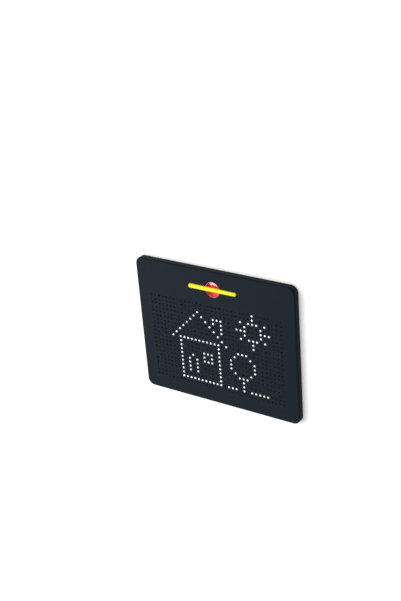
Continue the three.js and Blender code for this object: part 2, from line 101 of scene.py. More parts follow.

# Bead field. A hole is a neck under a rounded rim, a funnel whose radius grows by FUNNEL_FLARE for
# each millimetre down, and a round cell. A hole's points deeper than PAINTED_LIGHT_DEPTH get a
# paler grey, painted light on the cells' shaded walls, which so comes in along the funnel. A raised
# bead sits in the funnel with BEAD_SIDE_GAP around it.
HOLE_COLUMNS = 34
HOLE_ROWS = 21
CELL_WALL = 1.2
PLATE_OVERHANG = 2.0
BEAD_RADIUS = 2.4
NECK_RADIUS = 2.1
RIM_ROUND = 0.2
FUNNEL_FLARE = 0.5625
CELL_RADIUS = 3.35
BEAD_SIDE_GAP = 0.05
HOLE_QUARTER_SIDES = 4
RAISED_LINES = 5
RESTING_LINES = 4
PAINTED_LIGHT_DEPTH = 1.0
field_half_x = (plate_high[0] - plate_low[0]) / 2 - CELL_WALL - PLATE_OVERHANG
field_half_y = (plate_high[1] - plate_low[1]) / 2 - CELL_WALL - PLATE_OVERHANG
field_y = (plate_high[1] + plate_low[1]) / 2
PITCH = 2 * field_half_x / HOLE_COLUMNS
CELL_FLOOR_Z = plate_high[2] + SEAT_GAP
UNDER_Z = FACE_Z - FACE_SKIN
funnel_slant = math.hypot(1, FUNNEL_FLARE)
bead_sink = ((BEAD_RADIUS + BEAD_SIDE_GAP) * funnel_slant - NECK_RADIUS) / FUNNEL_FLARE
RAISED_Z = FACE_Z - bead_sink
RESTING_Z = plate_high[2] + BEAD_RADIUS

# Stylus and groove. The groove's mouth is MOUTH_ROOM wider than the stylus on each side, and its
# half round GROOVE_GAP. Its ends are half superellipses, whose sine and cosine are raised to
# END_POWER.
STYLUS_SINK = 0.8
GROOVE_GAP = 0.3
MOUTH_ROOM = 1.0
MOUTH_ROUND = 0.5
GROOVE_END_ROOM = 3.0
GROOVE_END_DEPTH = 3.2
TROUGH_WALL = 1.5
END_POWER = 0.6
MOUTH_STEPS = 3
GROOVE_WALL_LINES = 3
GROOVE_FLOOR_LINES = 9
GROOVE_SIDE_STEPS = 14
GROOVE_END_STEPS = 12
JOIN_ROUNDS = 12
OPENING_ARC_LINES = 30
TIP_RADIUS = 3.3
TIP_DOME_LENGTH = 3.0
TIP_DOME_LINES = 12
TIP_WALL = 1.4
BARREL_WALL = 1.3
END_ROUND = 1.3
END_ROUND_STEPS = 11
STYLUS_SEAM = 0.22
STYLUS_SEAM_STEPS = 3
STYLUS_SIDES = 56
TAPER_LINES = 24
TAPER_END_LINES = 2
MAGNET_SOCKET_RADIUS = 2.3
MAGNET_SOCKET_LENGTH = 15.0
END_BORE_LENGTH = 14.0
stylus_half = cap_high[0]
stylus_y = (barrel_low[1] + barrel_high[1]) / 2
STYLUS_Z = FACE_Z - STYLUS_SINK
end_radius = (plug_high[2] - plug_low[2]) / 2

# Finger well. The dish's floor is higher by WELL_FLOOR_CROWN at its middle, and by
# WELL_FLOOR_SADDLE where the groove's line leaves it. The lines of the crown end at
# WELL_CROWN_SHARE of the floor's radius. There is no flange within WELL_FLANGE_CLEAR of the
# groove's line. Inside a radius of WELL_NOTCH_HOLD, the columns along the groove's edges run in to
# the middle.
WELL_OPENING_RADIUS = 14.5
WELL_SKIN = 1.2
WELL_FLOOR_RADIUS = 12.0
WELL_FLOOR_CROWN = 0.9
WELL_FLOOR_SADDLE = 0.6
WELL_CROWN_SHARE = 0.93
WELL_CROWN_LINES = 12
WELL_BOWL_LINES = 15
WELL_FLANGE_WIDTH = 2.6
WELL_FLANGE_THICKNESS = 1.2
WELL_FLANGE_CLEAR = 6.4
WELL_LIP = 0.6
WELL_LIP_ROUND = 0.2
WELL_LIP_STEPS = 3
WELL_NOTCH_HOLD = 9.0
WELL_NOTCH_STEPS = 14
WELL_ARC_STEPS = 44
well_outer = WELL_OPENING_RADIUS - SEAT_GAP
well_rim_z = well_high[2]
well_floor_z = well_low[2] + WELL_SKIN

# Screws and their bosses. The rings of a screw's head lie at SCREW_RING_SHARES of its flat radius,
# closest together near the inner corners and the ends of the cross's arms.
SCREW_COUNT = 10
SCREW_NAMES = [f"back_screw_{number:02d}" for number in range(1, SCREW_COUNT + 1)]
SCREW_HEAD_HEIGHT = 1.4
SCREW_HEAD_ROUND = 0.5
SCREW_HEAD_STEPS = 5
SCREW_HEAD_DOME = 0.14
SCREW_RADIUS = 1.4
SCREW_POINT = 1.2
CROSS_HALF_WIDTH = 0.36
CROSS_REACH = 1.55
CROSS_DEPTH = 0.75
SCREW_RING_SHARES = (0.0, 0.12, 0.2, 0.23, 0.26, 0.34, 0.42, 0.5, 0.54, 0.58, 0.7, 0.85, 1.0)
SCREW_SIDES = 48
SCREW_SEAT_WALL = 1.6
SCREW_PAD_WALL = 1.4
SCREW_HOLE_SIDES = 28
PILOT_RADIUS = 1.7
BOSS_RADIUS = 3.6
BOSS_SIDES = 20
SCREW_HEAD_RADIUS = (screw_high[0] - screw_low[0]) / 2
SCREW_SEAT_Z = screw_low[2] + SCREW_HEAD_HEIGHT + SEAT_GAP
SCREW_PAD_Z = SCREW_SEAT_Z + SCREW_SEAT_WALL

# Feet. FOOT_GROOVE_SECTION goes across a ring groove: a share of its half width, and a share of its
# depth.
FOOT_COUNT = 6
FOOT_NAMES = [f"rubber_foot_{number:02d}" for number in range(1, FOOT_COUNT + 1)]
FOOT_SIDES = 48
FOOT_RECESS = 0.6
FOOT_EDGE_ROUND = 0.5
FOOT_EDGE_STEPS = 6
FOOT_GROOVE_DEPTH = 0.3
FOOT_GROOVE_HALF = 0.4
FOOT_GROOVE_SECTION = ((-1, 0), (-0.5, 1), (0.5, 1), (1, 0))
FOOT_GROOVE_SHARES = (0.25, 0.5, 0.75)

# The drawing that the raised beads make: a house, a tree and a sun. Each stroke is one or more
# lines of beads, from hole to hole. A place is a column and a row, in pitches from the first hole
# of the far row.
STROKES = {
    "roof": [[(5, 9), (12, 2), (19, 9)]],
    "eaves": [[(7, 9), (17, 9)]],
    "walls": [[(7, 10), (7, 19), (17, 19), (17, 10)]],
    "door": [[(9, 17), (9, 14), (10, 13), (11, 14), (11, 17)]],
    "window": [[(13, 12), (15, 12), (15, 14), (13, 14), (13, 13)]],
    "chimney": [[(16, 4), (16, 3), (18, 3), (18, 6)]],
    "sun": [
        [(24, 3), (25, 2), (27, 2), (28, 3), (28, 5), (27, 6), (25, 6), (24, 5), (24, 4)],
        [(26, 2), (26, 0)], [(26, 6), (26, 8)], [(24, 4), (22, 4)], [(28, 4), (30, 4)],
        [(24, 3), (23, 2)], [(28, 3), (29, 2)], [(24, 5), (23, 6)], [(28, 5), (29, 6)],
    ],
    "tree_crown": [
        [(22, 10), (24, 10), (26, 12), (26, 14), (24, 16), (22, 16), (20, 14), (20, 12), (21, 11)],
    ],
    "tree_trunk": [[(23, 17), (23, 19)]],
    "ground": [[(19, 19), (21, 19)]],
    "ground_far": [[(25, 19), (29, 19)]],
}

# The camera stands where the photograph was taken from, and is rolled as the photograph is. It sees
# as far as CAMERA_REACH, in metres.
CAMERA_PLACE = (931.9, 850.3, 1343.0)
CAMERA_TARGET = (-25.8, 68.7, FACE_Z)
CAMERA_ROLL = -125.56
CAMERA_REACH = 50.0
CAMERA_LENS = 64.69
SENSOR_HEIGHT = 36.0


def place_camera():
    """The camera looks from its place to its target, turned about its own line of sight."""
    data = bpy.data.cameras.new("camera")
    data.lens = CAMERA_LENS
    data.sensor_fit = "VERTICAL"
    data.sensor_height = SENSOR_HEIGHT
    data.clip_end = CAMERA_REACH
    camera = bpy.data.objects.new("camera", data)
    place = Vector(CAMERA_PLACE) * MM
    sight = Vector(CAMERA_TARGET) * MM - place
    camera.location = place
    camera.rotation_mode = "QUATERNION"
    roll = Quaternion((0, 0, 1), math.radians(CAMERA_ROLL))
    camera.rotation_quaternion = sight.to_track_quat("-Z", "Y") @ roll
    bpy.context.scene.collection.objects.link(camera)
    bpy.context.scene.camera = camera


# Meshes

def loft(rings, closed=True):
    """Quads between rows of points that follow each other. A closed row joins its own ends. Each
    quad has two points of a row and the same two of the next."""
    rings = np.asarray(rings, float)
    rows, columns = rings.shape[:2]
    index = np.arange(rows * columns).reshape(rows, columns)
    if closed:
        index = np.concatenate((index, index[:, :1]), axis=1)
    low, high = index[:-1], index[1:]
    quads = np.stack((low[:, :-1], low[:, 1:], high[:, 1:], high[:, :-1]), axis=-1)
    return rings.reshape(-1, 3), quads.reshape(-1, 4)


def joined(parts):
    """Several sets of points and faces as one."""
    points, faces, start = [], [], 0
    for part_points, part_faces in parts:
        points.append(part_points)
        faces.extend((np.asarray(part_faces) + start).tolist())
        start += len(part_points)
    return np.concatenate(points), faces


def set_down(shape, places):
    """A shape of quads set down at each of some places: each point of it plus each place."""
    points, faces = shape
    all_points = (places[:, None] + points[None]).reshape(-1, 3)
    starts = np.arange(len(places)) * len(points)
    return all_points, (starts[:, None, None] + np.asarray(faces)[None]).reshape(-1, 4)


def flat_face(outline, holes=()):
    """Triangles that fill a loop of points and leave other loops inside it free. Each point keeps
    its height. A triangle is kept where a line from its middle crosses the loops an odd number of
    times."""
    loops = [np.asarray(loop, float) for loop in (outline, *holes)]
    points = np.concatenate(loops)
    edges, start = [], 0
    for loop in loops:
        index = np.arange(len(loop)) + start
        edges.extend(zip(index.tolist(), np.roll(index, -1).tolist()))
        start += len(loop)
    flat = [Vector(point[:2]) for point in points]
    places, _, triangles, origin, _, _ = delaunay_2d_cdt(flat, edges, [], 0, SAME_PLACE)
    source = [ids[0] for ids in origin]
    solid = np.array([(*place, points[i][2]) for place, i in zip(places, source)])
    triangles = np.array(triangles)
    middle = solid[triangles].mean(axis=1)
    a, b = points[[e[0] for e in edges]], points[[e[1] for e in edges]]
    x, y = middle[:, 0, None], middle[:, 1, None]
    spans = (a[:, 1] > y) != (b[:, 1] > y)
    rise = np.where(a[:, 1] == b[:, 1], 1, b[:, 1] - a[:, 1])
    crosses = spans & (x < a[:, 0] + (y - a[:, 1]) * (b[:, 0] - a[:, 0]) / rise)
    return solid, triangles[crosses.sum(axis=1) % 2 == 1]


def add_piece(name, shape, body, material, replaces=()):
    """Makes a closed, outward-facing, smooth-shaded mesh from points in millimetres, with edges
    sharper than SHARP_ANGLE kept crisp, and puts it on a body of the frame."""
    points, faces = shape
    mesh = bpy.data.meshes.new(name)
    mesh.from_pydata((np.asarray(points) * MM).tolist(), [], [list(face) for face in faces])
    edit = bmesh.new()
    edit.from_mesh(mesh)
    bmesh.ops.remove_doubles(edit, verts=edit.verts, dist=MERGE_DISTANCE * MM)
    bmesh.ops.dissolve_degenerate(edit, dist=THIN_EDGE * MM, edges=edit.edges)
    bmesh.ops.recalc_face_normals(edit, faces=edit.faces)
    for face in edit.faces:
        face.smooth = True
    limit = math.radians(SHARP_ANGLE)
    for edge in edit.edges:
        edge.smooth = len(edge.link_faces) != 2 or edge.calc_face_angle() < limit
    edit.to_mesh(mesh)
    edit.free()
    mesh.materials.append(material)
    piece = bpy.data.objects.new(name, mesh)
    bpy.context.scene.collection.objects.link(piece)
    weighted = piece.modifiers.new("even_shading", "WEIGHTED_NORMAL")
    weighted.keep_sharp = True
    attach(piece, body)
    if replaces:
        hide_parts(*replaces)
    return piece


def full_turn(sides):
    """Evenly spaced angles, once around."""
    return np.linspace(0, 2 * math.pi, sides, endpoint=False)


def ring_of(radius, z, centre, sides):
    """A level circle of points about a centre: the radius times each angle's cosine and sine."""
    angle = full_turn(sides)
    x = centre[0] + radius * np.cos(angle)
    y = centre[1] + radius * np.sin(angle)
    return np.column_stack((x, y, np.full(sides, z)))


def turned_rings(profile, centre, sides):
    """A level circle of points for each radius and height of a profile."""
    return [ring_of(max(radius, AXIS_RADIUS), z, centre, sides) for radius, z in profile]


def turned(profile, centre, sides):
    """A profile of radius and height turned about an upright line."""
    return loft(turned_rings(profile, centre, sides))


def quarter_round(radius, steps):
    """Pairs of draw-in and drop along a quarter circle, from a flat face to an upright wall: the
    radius times one less the sine, and one less the cosine, of an angle."""
    angle = np.linspace(0, math.pi / 2, steps + 1)
    return list(zip(radius * (1 - np.sin(angle)), radius * (1 - np.cos(angle))))


# Front shell

def case_loop(inset, z):
    """The case's outline drawn in by an inset: straight sides joined by quarter circles."""
    radius = CORNER_RADIUS - inset
    turn = np.linspace(0, math.pi / 2, CORNER_STEPS + 1)
    loop = []
    for quarter, (side_x, side_y) in enumerate(((1, 1), (-1, 1), (-1, -1), (1, -1))):
        angle = turn + quarter * math.pi / 2
        x = side_x * (BOARD_HALF_X - CORNER_RADIUS) + radius * np.cos(angle)
        y = side_y * (BOARD_HALF_Y - CORNER_RADIUS) + radius * np.sin(angle)
        loop.append(np.column_stack((x, y, np.full(CORNER_STEPS + 1, z))))
    return np.concatenate(loop)


def stylus_radius(x):
    """The stylus tapers evenly from its blunt end, at -X, to its tip, at +X."""
    share = (np.asarray(x) + stylus_half) / (2 * stylus_half)
    return end_radius + (TIP_RADIUS - end_radius) * share


def hole_place(column, row):
    """The middle of a hole. Rows count from the far side."""
    x = (column + 0.5) * PITCH - field_half_x
    y = field_y + field_half_y - (row + 0.5) * PITCH
    return x, y


def cell_rings():
    """One hole, from the square that it takes of the face, over its rounded rim, down its funnel
    and its cell, to the square under it. A ray from the middle at an angle meets the square at
    half the pitch over the larger of its cosine and sine."""
    sides = 4 * HOLE_QUARTER_SIDES
    angle = full_turn(sides)
    ray = np.column_stack((np.cos(angle), np.sin(angle)))
    square = ray * (PITCH / 2 / np.abs(ray).max(axis=1))[:, None]
    funnel_z = FACE_Z - (CELL_RADIUS - NECK_RADIUS) / FUNNEL_FLARE
    levels = [
        (square, FACE_Z),
        (ray * (NECK_RADIUS + RIM_ROUND), FACE_Z),
        (ray * (NECK_RADIUS + FUNNEL_FLARE * RIM_ROUND), FACE_Z - RIM_ROUND),
        (ray * CELL_RADIUS, funnel_z),
        (ray * CELL_RADIUS, CELL_FLOOR_Z),
        (square, CELL_FLOOR_Z),
    ]
    return np.array([np.column_stack((flat, np.full(sides, z))) for flat, z in levels])


def field_holes():
    """Every hole of the field: one hole's rings set down at each place of the grid."""
    column, row = np.meshgrid(np.arange(HOLE_COLUMNS), np.arange(HOLE_ROWS))
    x, y = hole_place(column.ravel(), row.ravel())
    return set_down(loft(cell_rings()), np.column_stack((x, y, np.zeros(x.size))))


def field_loop(reach, z):
    """The field's outline, with the points that the edge holes have there. It is moved outwards
    by a reach, with square corners."""
    step = PITCH / 2 * math.tan(math.pi / 4 / (HOLE_QUARTER_SIDES / 2))
    stops = np.array([-PITCH / 2, -step, 0, step])
    along_x, along_y = (
        (stops + (np.arange(count) + 0.5)[:, None] * PITCH).ravel() - half
        for count, half in ((HOLE_COLUMNS, field_half_x), (HOLE_ROWS, field_half_y))
    )
    near = np.column_stack((along_x, np.full(along_x.size, -field_half_y)))
    right = np.column_stack((np.full(along_y.size, field_half_x), along_y))
    loop = np.concatenate((near, right, -near, -right))
    corner_x = np.abs(loop[:, 0]) > field_half_x - SAME_PLACE
    corner_y = np.abs(loop[:, 1]) > field_half_y - SAME_PLACE
    loop[:, 0] += np.sign(loop[:, 0]) * reach * corner_x
    loop[:, 1] += np.sign(loop[:, 1]) * reach * corner_y
    return np.column_stack((loop[:, 0], loop[:, 1] + field_y, np.full(len(loop), z)))


def mouth_level(spread, drop):
    """The groove near the face, at a spread from its mouth's width and a drop below the face."""
    return {
        "half": lambda x: stylus_radius(x) + MOUTH_ROOM + spread,
        "z": lambda x: np.full(np.shape(x), FACE_Z - drop),
        "spread": spread,
    }


def round_level(share, extra):
    """The half round under the stylus's axis, at a share of its depth. extra is what the round
    is wider than the stylus."""
    return {
        "half": lambda x: (stylus_radius(x) + extra) * math.sqrt(1 - share ** 2),
        "z": lambda x: STYLUS_Z - (stylus_radius(x) + extra) * share,
        "spread": 0.0,
    }


def groove_half(level, side, end_room):
    """Half of the groove at a level: from where it leaves the well's circle at +Y, out along its
    side, around its end, which is half of a superellipse, and back to the circle at -Y. The place
    where it leaves the circle is the root of the circle's radius squared less the half width
    squared. The width depends on that place, so it is worked out by repeating."""
    circle = WELL_OPENING_RADIUS + level["spread"]
    join = circle
    for _ in range(JOIN_ROUNDS):
        join = math.sqrt(circle ** 2 - float(level["half"](side * join)) ** 2)
    end_x = stylus_half + end_room + level["spread"]
    cap_x = end_x - GROOVE_END_DEPTH
    out_x = join + (cap_x - join) * np.linspace(0, 1, GROOVE_SIDE_STEPS, endpoint=False)
    turn = np.linspace(math.pi / 2, -math.pi / 2, GROOVE_END_STEPS + 1)
    bulge_x = np.abs(np.cos(turn)) ** END_POWER
    bulge_y = np.sign(np.sin(turn)) * np.abs(np.sin(turn)) ** END_POWER
    cap_half = float(level["half"](side * cap_x))
    x = np.concatenate((out_x, cap_x + GROOVE_END_DEPTH * bulge_x, out_x[::-1]))
    side_half = level["half"](side * out_x)
    y = np.concatenate((side_half, cap_half * bulge_y, -side_half[::-1]))
    z = level["z"](side * np.minimum(x, cap_x))
    return np.column_stack((side * x, y + stylus_y, z))


def well_angle(point):
    """The angle of a point about the well's middle."""
    return math.atan2(point[1] - stylus_y, point[0])


def well_arc(right, left, circle, shares):
    """The arc of the well's circle from a point of the groove's right half to one of its left half:
    a place at each share of the angle between them, at the same share of their heights."""
    start, stop = well_angle(right), well_angle(left)
    angle = start + (stop - start) * shares
    height = right[2] + (left[2] - right[2]) * shares
    return np.column_stack((circle * np.cos(angle), stylus_y + circle * np.sin(angle), height))


def groove_and_well():
    """The groove's walls and the wall of the well's opening, with the loops in which they meet
    the face and the shell's underside. Returns parts, the face loop and the underside loop."""
    floor_share = (STYLUS_Z - UNDER_Z) / (stylus_radius(0) + GROOVE_GAP)
    under_share = (STYLUS_Z - UNDER_Z) / (stylus_radius(0) + GROOVE_GAP + TROUGH_WALL)
    upper = [mouth_level(*step) for step in quarter_round(MOUTH_ROUND, MOUTH_STEPS)]
    upper += [
        round_level(share, GROOVE_GAP)
        for share in np.linspace(0, floor_share, GROOVE_WALL_LINES)
    ]
    lower = [
        round_level(math.sin(angle), GROOVE_GAP)
        for angle in np.linspace(math.asin(floor_share), math.pi / 2, GROOVE_FLOOR_LINES)[1:]
    ]
    outer = [
        round_level(math.sin(angle), GROOVE_GAP + TROUGH_WALL)
        for angle in np.linspace(math.asin(under_share), math.pi / 2, GROOVE_FLOOR_LINES)
    ]
    inner_halves = {
        side: [groove_half(level, side, GROOVE_END_ROOM) for level in upper + lower]
        for side in (1, -1)
    }
    outer_halves = {
        side: [groove_half(level, side, GROOVE_END_ROOM + TROUGH_WALL) for level in outer]
        for side in (1, -1)
    }
    parts = []
    for side in (1, -1):
        parts.append(loft(inner_halves[side], closed=False))
        parts.append(loft(outer_halves[side], closed=False))
        edge_rows = inner_halves[side][len(upper) - 1:]
        for end in (0, -1):
            inner_edge = [row[end] for row in edge_rows]
            outer_edge = [row[end] for row in outer_halves[side]]
            parts.append(loft([inner_edge, outer_edge], closed=False))
    arcs = []
    for end in (0, -1):
        joins = [inner_halves[1][len(upper) - 1][end], outer_halves[1][0][end]]
        joins += [outer_halves[-1][0][end], inner_halves[-1][len(upper) - 1][end]]
        angles = np.array([well_angle(point) for point in joins])
        breaks = (angles - angles[0]) / (angles[-1] - angles[0])
        shares = np.concatenate(([0], np.linspace(breaks[1], breaks[2], OPENING_ARC_LINES), [1]))
        rows = [
            well_arc(right[end], left[end], WELL_OPENING_RADIUS + level["spread"], shares)
            for level, right, left in zip(upper, inner_halves[1], inner_halves[-1])
        ]
        # The lowest row lies in the underside, with the trough's outer corners next to its ends.
        rows[-1][1:-1, 2] = UNDER_Z
        rows[-1][1], rows[-1][-2] = joins[1], joins[2]
        arcs.append(rows)
        parts.append(loft(rows, closed=False))
    far_rows, near_rows = arcs
    face_loop = np.concatenate((
        far_rows[0], inner_halves[-1][0][1:],
        near_rows[0][::-1][1:], inner_halves[1][0][::-1][1:-1],
    ))
    under_loop = np.concatenate((
        far_rows[-1][1:-1], outer_halves[-1][0][1:],
        near_rows[-1][1:-1][::-1][1:], outer_halves[1][0][::-1][1:-1],
    ))
    return parts, face_loop, under_loop


def front_shell_shape():
    """The face, its rounded edge and side walls, the holes' block, the groove, the well's opening
    and the screw bosses, closed from below by the underside."""
    groove_parts, groove_loop, trough_loop = groove_and_well()
    edge = [
        case_loop(inset, FACE_Z - drop)
        for inset, drop in quarter_round(FACE_EDGE_RADIUS, FACE_EDGE_STEPS)
    ]
    walls = edge + [
        case_loop(0, SEAM_Z + SEAM_EDGE),
        case_loop(SEAM_EDGE, SEAM_Z),
        case_loop(SIDE_WALL, SEAM_Z),
        case_loop(SIDE_WALL, UNDER_Z),
    ]
    block = [
        field_loop(0, CELL_FLOOR_Z),
        field_loop(CELL_WALL, CELL_FLOOR_Z),
        field_loop(CELL_WALL, UNDER_Z),
    ]
    bosses, boss_loops = screw_bosses()
    parts = [
        flat_face(edge[0], [field_loop(0, FACE_Z), groove_loop]),
        flat_face(walls[-1], [block[-1], trough_loop, *boss_loops]),
        loft(walls), loft(block), field_holes(), *groove_parts, *bosses,
    ]
    return joined(parts)


def node_places(names):
    """The middles of nodes of the frame, seen from above."""
    return [(sum(frame_box(name)) / 2)[:2] for name in names]


def screw_bosses():
    """A round post for each screw, with a blind hole, hanging from the shell's underside."""
    boss_low = SCREW_PAD_Z + SEAT_GAP
    pilot_top = screw_high[2] + SEAT_GAP
    profile = [
        (BOSS_RADIUS, UNDER_Z), (BOSS_RADIUS, boss_low), (PILOT_RADIUS, boss_low),
        (PILOT_RADIUS, pilot_top), (0, pilot_top),
    ]
    parts, loops = [], []
    for centre in node_places(SCREW_NAMES):
        rings = turned_rings(profile, centre, BOSS_SIDES)
        parts.append(loft(rings))
        loops.append(rings[0])
    return parts, loops


def mark_painted_shading(piece):
    """Sets two attributes of painted light and shade on the points of a half of the case.
    "painted_cell_light" is 1 on the walls of the cells, which are drawn paler as painted light.
    "painted_edge_shade" rises from 0 to 1 over the rounded edge and stays 1 on the side walls,
    which are drawn darker as painted shade. A place's inset is the corners' radius less its
    distance from the rectangle that has the corners' centres for its own corners."""
    mesh = piece.data
    places = np.empty(len(mesh.vertices) * 3)
    mesh.vertices.foreach_get("co", places)
    x, y, z = places.reshape(-1, 3).T / MM
    in_field = (np.abs(x) < field_half_x) & (np.abs(y - field_y) < field_half_y)
    # Painted light: the cells' walls, which lie in shade, are drawn paler.
    painted_cell_light = in_field & (z < FACE_Z - PAINTED_LIGHT_DEPTH)
    past_x = np.maximum(np.abs(x) - (BOARD_HALF_X - CORNER_RADIUS), 0)
    past_y = np.maximum(np.abs(y) - (BOARD_HALF_Y - CORNER_RADIUS), 0)
    inset = CORNER_RADIUS - np.hypot(past_x, past_y)
    # Painted shade: darker over the rounded edge and on the side walls.
    painted_edge_shade = np.clip(EDGE_SHADE_RISE * (1 - inset / FACE_EDGE_RADIUS), 0, 1)
    for name, value in (("painted_cell_light", painted_cell_light), ("painted_edge_shade", painted_edge_shade)):
        attribute = mesh.attributes.new(name, "FLOAT", "POINT")
        attribute.data.foreach_set("value", value.astype(float))


# Finger well

def well_profile():
    """The dish's profile of radius and height: over a floor that is crowned by a parabola, up a
    quarter of an ellipse to the rounded lip, down the outside and the flange, and back under it.
    The second list is the part that faces down."""
    flange_radius = well_outer + WELL_FLANGE_WIDTH
    flange_high = UNDER_Z - SEAT_GAP
    flange_low = flange_high - WELL_FLANGE_THICKNESS
    lip_radius = well_outer - WELL_LIP
    bowl_rise = well_rim_z - WELL_LIP_ROUND - well_floor_z
    rise = np.linspace(0, math.pi / 2, WELL_BOWL_LINES)
    crown = [
        (WELL_FLOOR_RADIUS * share, well_floor_z + WELL_FLOOR_CROWN * (1 - share ** 2))
        for share in np.linspace(0, WELL_CROWN_SHARE, WELL_CROWN_LINES)
    ]
    bowl = [
        (WELL_FLOOR_RADIUS + (lip_radius - WELL_FLOOR_RADIUS) * math.sin(a),
         well_floor_z + bowl_rise * (1 - math.cos(a)))
        for a in rise
    ]
    lip_edge = quarter_round(WELL_LIP_ROUND, WELL_LIP_STEPS)
    lip = [(lip_radius + drop, well_rim_z - draw) for draw, drop in lip_edge[1:]]
    lip += [(well_outer - draw, well_rim_z - drop) for draw, drop in lip_edge]
    flange = [(well_outer, flange_high), (flange_radius, flange_high), (flange_radius, flange_low)]
    under = [
        (WELL_FLOOR_RADIUS + (well_outer - WELL_FLOOR_RADIUS) * math.sin(a),
         well_low[2] + (flange_low - well_low[2]) * (1 - math.cos(a)))
        for a in rise[::-1]
    ]
    under += [(WELL_FLOOR_RADIUS / 2, well_low[2]), (0, well_low[2])]
    return [*crown, *bowl, *lip, *flange], under


def saddle_share(radius, z):
    """The share of WELL_FLOOR_SADDLE that a place of the profile gets. On the floor it is the
    square of its share of the floor's radius. On the wall it falls evenly with the height, to 0."""
    if radius < WELL_FLOOR_RADIUS:
        return (radius / WELL_FLOOR_RADIUS) ** 2
    return max(1 - (z - well_floor_z) / (well_rim_z - WELL_LIP_ROUND - well_floor_z), 0)


def well_shape():
    """The dish, turned from its profile. The saddle, times the square of the angle's cosine, is
    added to the height, so that the floor falls off across the groove more than along it. Within
    the groove's width the dish reaches no higher than a half round two seat gaps wider than the
    stylus, and the flange leaves the groove's trough free. The columns of the grid follow the
    groove's edges, where two columns share one place at different heights."""
    top, bottom = well_profile()
    rows = []
    for number, (radius, z) in enumerate(top + bottom):
        under = number >= len(top)
        skin = WELL_SKIN if under else 0
        saddle = 0 if under else WELL_FLOOR_SADDLE * saddle_share(radius, z)
        notch_radius = min(radius, well_outer)
        halves, edges = [], []
        for side in (1, -1):
            halves.append(float(stylus_radius(side * notch_radius)) + 2 * SEAT_GAP)
            edges.append(math.asin(min(halves[-1] / max(notch_radius, WELL_NOTCH_HOLD), 1)))
        columns = []
        for middle, half, edge, next_edge in zip((0, math.pi), halves, edges, edges[::-1]):
            for angle in np.linspace(middle - edge, middle + edge, WELL_NOTCH_STEPS + 1):
                x, y = notch_radius * math.cos(angle), notch_radius * math.sin(angle)
                limit = STYLUS_Z - math.sqrt(half ** 2 - min(abs(y), half) ** 2) - skin
                columns.append((x, y + stylus_y, min(z + saddle * math.cos(angle) ** 2, limit)))
            arc_end = middle + math.pi - next_edge
            for angle in np.linspace(middle + edge, arc_end, WELL_ARC_STEPS + 1):
                flanged = abs(math.sin(angle)) * well_outer > WELL_FLANGE_CLEAR
                reach = radius if flanged else notch_radius
                x, y = reach * math.cos(angle), reach * math.sin(angle)
                columns.append((x, y + stylus_y, z + saddle * math.cos(angle) ** 2))
        rows.append(columns)
    return loft(rows)


# Stylus

def along_stylus(profile):
    """A profile of distance from the tip and radius, turned about the stylus's axis."""
    angle = full_turn(STYLUS_SIDES)
    rings = []
    for along, radius in profile:
        radius = max(radius, AXIS_RADIUS)
        x = np.full(STYLUS_SIDES, stylus_half - along)
        rings.append(np.column_stack((
            x, stylus_y + radius * np.cos(angle), STYLUS_Z + radius * np.sin(angle),
        )))
    return loft(rings)


def stylus_shapes():
    """The barrel, the tip cap and the blunt end plug, with a fine rounded seam between each two.
    The tip is a quarter of an ellipse: its length times one less the cosine, and its radius times
    the sine."""
    length = 2 * stylus_half
    cap_length = stylus_half - cap_low[0]
    barrel_start = stylus_half - barrel_high[0]
    barrel_end = stylus_half - barrel_low[0]
    plug_start = barrel_end + (barrel_start - cap_length)
    spigot_end = stylus_half - plug_high[0]

    def outer(along):
        """The taper's radius at a distance from the tip."""
        return float(stylus_radius(stylus_half - along))

    def softened(start, stop):
        """A stretch of the taper with both of its edges rounded."""
        draw, drop = np.array(quarter_round(STYLUS_SEAM, STYLUS_SEAM_STEPS)).T
        first = zip(start + drop, outer(start) - draw)
        last = zip(stop - drop, outer(stop) - draw)
        lines = np.linspace(start, stop, TAPER_LINES)[TAPER_END_LINES:-TAPER_END_LINES]
        between = [(along, outer(along)) for along in lines]
        return [*first, *between, *list(last)[::-1]]

    seam, socket = STYLUS_SEAM, MAGNET_SOCKET_RADIUS
    bore = outer(barrel_end) - BARREL_WALL
    barrel = [
        (barrel_start, socket), *softened(barrel_start, barrel_end), (barrel_end, bore),
        (barrel_end - END_BORE_LENGTH, bore), (barrel_start + MAGNET_SOCKET_LENGTH, socket),
        (barrel_start, socket),
    ]
    dome = [
        (TIP_DOME_LENGTH * (1 - math.cos(a)), outer(TIP_DOME_LENGTH) * math.sin(a))
        for a in np.linspace(0, math.pi / 2, TIP_DOME_LINES)
    ]
    cap = [
        *dome, (cap_length - seam, outer(cap_length - seam)),
        (cap_length, outer(cap_length) - seam), (cap_length, socket),
        (TIP_WALL, socket), (TIP_WALL, 0),
    ]
    rounded = [
        (length - draw, outer(length) - drop)
        for draw, drop in quarter_round(END_ROUND, END_ROUND_STEPS)
    ]
    plug = [
        (spigot_end, 0), (spigot_end, bore - SEAT_GAP), (plug_start, bore - SEAT_GAP),
        (plug_start, outer(plug_start) - seam), (plug_start + seam, outer(plug_start + seam)),
        *rounded, (length, 0),
    ]
    profiles = {"barrel": barrel, "tip_cap": cap, "end_plug": plug}
    return {part: along_stylus(profile) for part, profile in profiles.items()}


# Beads

def ball(lines):
    """A ball as the six sides of a cube pushed out to a sphere: each point of a side's grid is
    moved along its ray to the ball's radius. The grid's lines lie at the tangents of even
    angles."""
    steps = np.tan(np.linspace(-math.pi / 4, math.pi / 4, lines))
    u, v = np.meshgrid(steps, steps)
    one = np.ones_like(u)
    sides = [(u, v, one), (v, u, -one), (one, u, v), (-one, v, u), (v, one, u), (u, -one, v)]
    parts = []
    for x, y, z in sides:
        grid = np.stack((x, y, z), axis=-1)
        grid *= BEAD_RADIUS / np.linalg.norm(grid, axis=-1, keepdims=True)
        parts.append(loft(grid, closed=False))
    return joined(parts)


